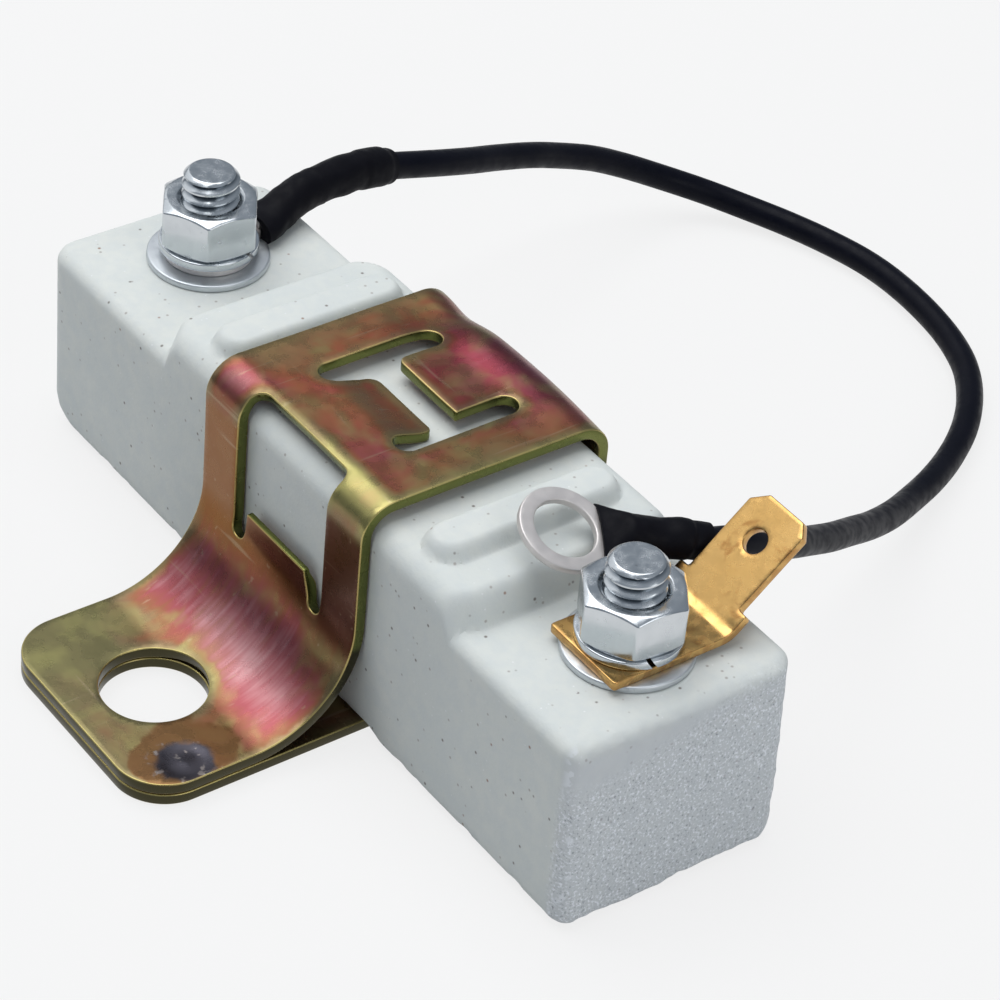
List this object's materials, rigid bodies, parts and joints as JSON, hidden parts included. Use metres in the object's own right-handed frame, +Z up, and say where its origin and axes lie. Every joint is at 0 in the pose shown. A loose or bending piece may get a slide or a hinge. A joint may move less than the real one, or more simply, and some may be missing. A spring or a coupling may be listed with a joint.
{
  "type": "ballast resistor",
  "caption": "Ceramic ballast resistor held in a folded strap bracket with a bolt-down foot, with threaded terminal studs, a spade terminal and a short jumper lead ending in a ring terminal.",
  "frame": {"origin": "centre of the bolt hole in the bracket's foot, on the strap's underside", "axes": "+X along the ceramic body, +Y from the bolt hole towards the body, +Z up out of the foot"},
  "size_m": [0.0776, 0.1007, 0.0269],
  "materials": {
    "ceramic": "matt, pale grey with fine dark specks",
    "cement": "matt, rough",
    "resistance_wire": "dull oxide",
    "chromated_steel": "yellow chromate on zinc, iridescent",
    "bright_zinc": "bright zinc",
    "brass": "polished with slight tarnish",
    "tinned_metal": "dull tin",
    "sleeve": "shrunk black sleeve",
    "insulation": "black insulation with a soft sheen"
  },
  "bodies": {
    "root": {"ceramic_body": "ceramic", "cement_seal": "cement", "resistance_coil": "resistance_wire", "strap_bracket": "chromated_steel", "left_terminal_stud": "bright_zinc", "right_terminal_stud": "bright_zinc", "left_flat_washer": "bright_zinc", "right_flat_washer": "bright_zinc", "left_spring_washer": "bright_zinc", "right_spring_washer": "bright_zinc", "left_hex_nut": "bright_zinc", "right_hex_nut": "bright_zinc", "spade_terminal": "brass", "fixed_ring_terminal": "tinned_metal", "fixed_sleeve": "sleeve", "jumper_lead": "insulation", "free_sleeve": "sleeve", "free_ring_terminal": "tinned_metal"}
  },
  "joints": []
}
